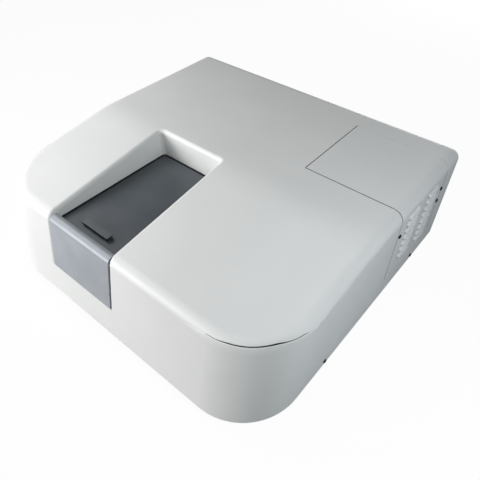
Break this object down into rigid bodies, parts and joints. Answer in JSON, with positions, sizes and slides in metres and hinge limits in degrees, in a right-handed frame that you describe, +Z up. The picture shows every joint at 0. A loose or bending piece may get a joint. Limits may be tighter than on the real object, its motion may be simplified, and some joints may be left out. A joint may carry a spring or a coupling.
{
  "type": "double beam spectrophotometer",
  "caption": "Bench spectrophotometer with a sliding lid over a sample compartment, lift-off front panel, side louvres and the optics of two beams inside.",
  "frame": {"origin": "on the bench top, under the middle of the instrument", "axes": "+Z up, +X to the right of someone in front of it, the front faces -Y"},
  "size_m": [0.6048, 0.574, 0.2045],
  "materials": {
    "casing_white": "fine-textured off-white enamel over moulded foam",
    "black_steel": "black oxide",
    "pan_grey": "light grey powder coat",
    "foot_rubber": "matte black rubber",
    "rear_plate": "light grey powder coat",
    "panel_silver": "silver-grey satin paint",
    "lid_blue_grey": "blue-grey matte plastic",
    "nylon": "natural nylon",
    "zinc_steel": "zinc-plated sheet",
    "cast_aluminium": "machined casting",
    "tub_black": "light-absorbing matte black",
    "quartz": "clear fused quartz",
    "holder_black": "black anodised",
    "casting_black": "matte black on cast aluminium",
    "blackened_brass": "chemically blackened",
    "mirror_coat": "aluminised, silica coated",
    "motor_steel": "blackened steel can",
    "grating_glass": "ruled, aluminised",
    "filter_glass": "coloured glass",
    "ceramic": "unglazed ceramic",
    "bakelite": "dark moulded resin",
    "tube_glass": "glass with a metal film inside",
    "circuit_green": "solder-masked glass laminate",
    "brass_post": "turned brass",
    "black_plastic": "black moulded plastic",
    "port_shell": "nickel-plated shell",
    "chrome_wire": "nickel-plated wire"
  },
  "bodies": {
    "casing": {"top_cover": "casing_white", "lamp_cover": "casing_white", "casing_screws": "black_steel", "base_pan": "pan_grey", "feet": "foot_rubber", "rear_panel": "rear_plate", "connector_plate": "rear_plate", "lid_rail_left": "nylon", "lid_rail_right": "nylon", "rail_brackets": "zinc_steel", "optical_bench": "cast_aluminium", "bench_isolators": "foot_rubber", "sample_tub": "tub_black", "beam_windows": "quartz", "holder_base": "holder_black", "sample_cell_holder": "holder_black", "reference_cell_holder": "holder_black", "monochromator_casting": "casting_black", "monochromator_cover": "casting_black", "entrance_slit": "blackened_brass", "exit_slit": "blackened_brass", "collimating_mirror": "mirror_coat", "focusing_mirror": "mirror_coat", "exit_fold_mirror": "mirror_coat", "sample_fold_mirror": "mirror_coat", "sample_collecting_mirror": "mirror_coat", "reference_collecting_mirror": "mirror_coat", "grating_motor": "motor_steel", "filter_motor": "motor_steel", "chopper_motor": "motor_steel", "lamp_house": "zinc_steel", "deuterium_socket": "ceramic", "deuterium_lamp": "quartz", "halogen_socket": "ceramic", "halogen_lamp": "quartz", "lamp_change_motor": "motor_steel", "detector_box": "holder_black", "detector_socket": "bakelite", "photomultiplier": "tube_glass", "main_board": "circuit_green", "board_standoffs": "brass_post", "power_supply": "zinc_steel", "mains_inlet": "black_plastic", "switch_housing": "black_plastic", "fuse_holder": "black_plastic", "data_ports": "port_shell", "fan_frame": "black_plastic", "fan_guard": "chrome_wire"},
    "lid": {"compartment_lid": "lid_blue_grey", "lid_grip": "lid_blue_grey"},
    "front_cover": {"front_panel": "panel_silver"},
    "grating": {"grating_turntable": "cast_aluminium", "diffraction_grating": "grating_glass"},
    "filters": {"filter_wheel": "holder_black", "order_filters": "filter_glass"},
    "chopper": {"chopper_disc": "mirror_coat"},
    "swing_mirror": {"lamp_change_mirror": "mirror_coat"},
    "fan": {"fan_rotor": "black_plastic"},
    "rocker": {"power_rocker": "black_plastic"}
  },
  "joints": [
    {"name": "lid_slide", "type": "slide", "parent": "casing", "child": "lid", "axis": [0, 1, 0], "range_m": [0, 0.194]},
    {"name": "panel_lift", "type": "slide", "parent": "casing", "child": "front_cover", "axis": [0, 0, 1], "range_m": [0, 0.12]},
    {"name": "grating_turn", "type": "hinge", "parent": "casing", "child": "grating", "pos_m": [0.165, -0.02, 0.076], "axis": [0, 0, 1], "range_deg": [-8, 60]},
    {"name": "filter_turn", "type": "hinge", "parent": "casing", "child": "filters", "pos_m": [0.215, 0.061, 0.087], "axis": [0, 1, 0], "continuous": true},
    {"name": "chopper_spin", "type": "hinge", "parent": "casing", "child": "chopper", "pos_m": [0.042, -0.1, 0.08], "axis": [0.7071, -0.7071, 0], "continuous": true},
    {"name": "lamp_change", "type": "hinge", "parent": "casing", "child": "swing_mirror", "pos_m": [0.23338, 0.12162, 0.074], "axis": [0, 0, 1], "range_deg": [-60, 0]},
    {"name": "fan_spin", "type": "hinge", "parent": "casing", "child": "fan", "pos_m": [0.202, 0.2565, 0.105], "axis": [0, 1, 0], "continuous": true},
    {"name": "rocker_press", "type": "hinge", "parent": "casing", "child": "rocker", "pos_m": [-0.19, 0.2785, 0.06], "axis": [1, 0, 0], "range_deg": [0, 20]}
  ]
}
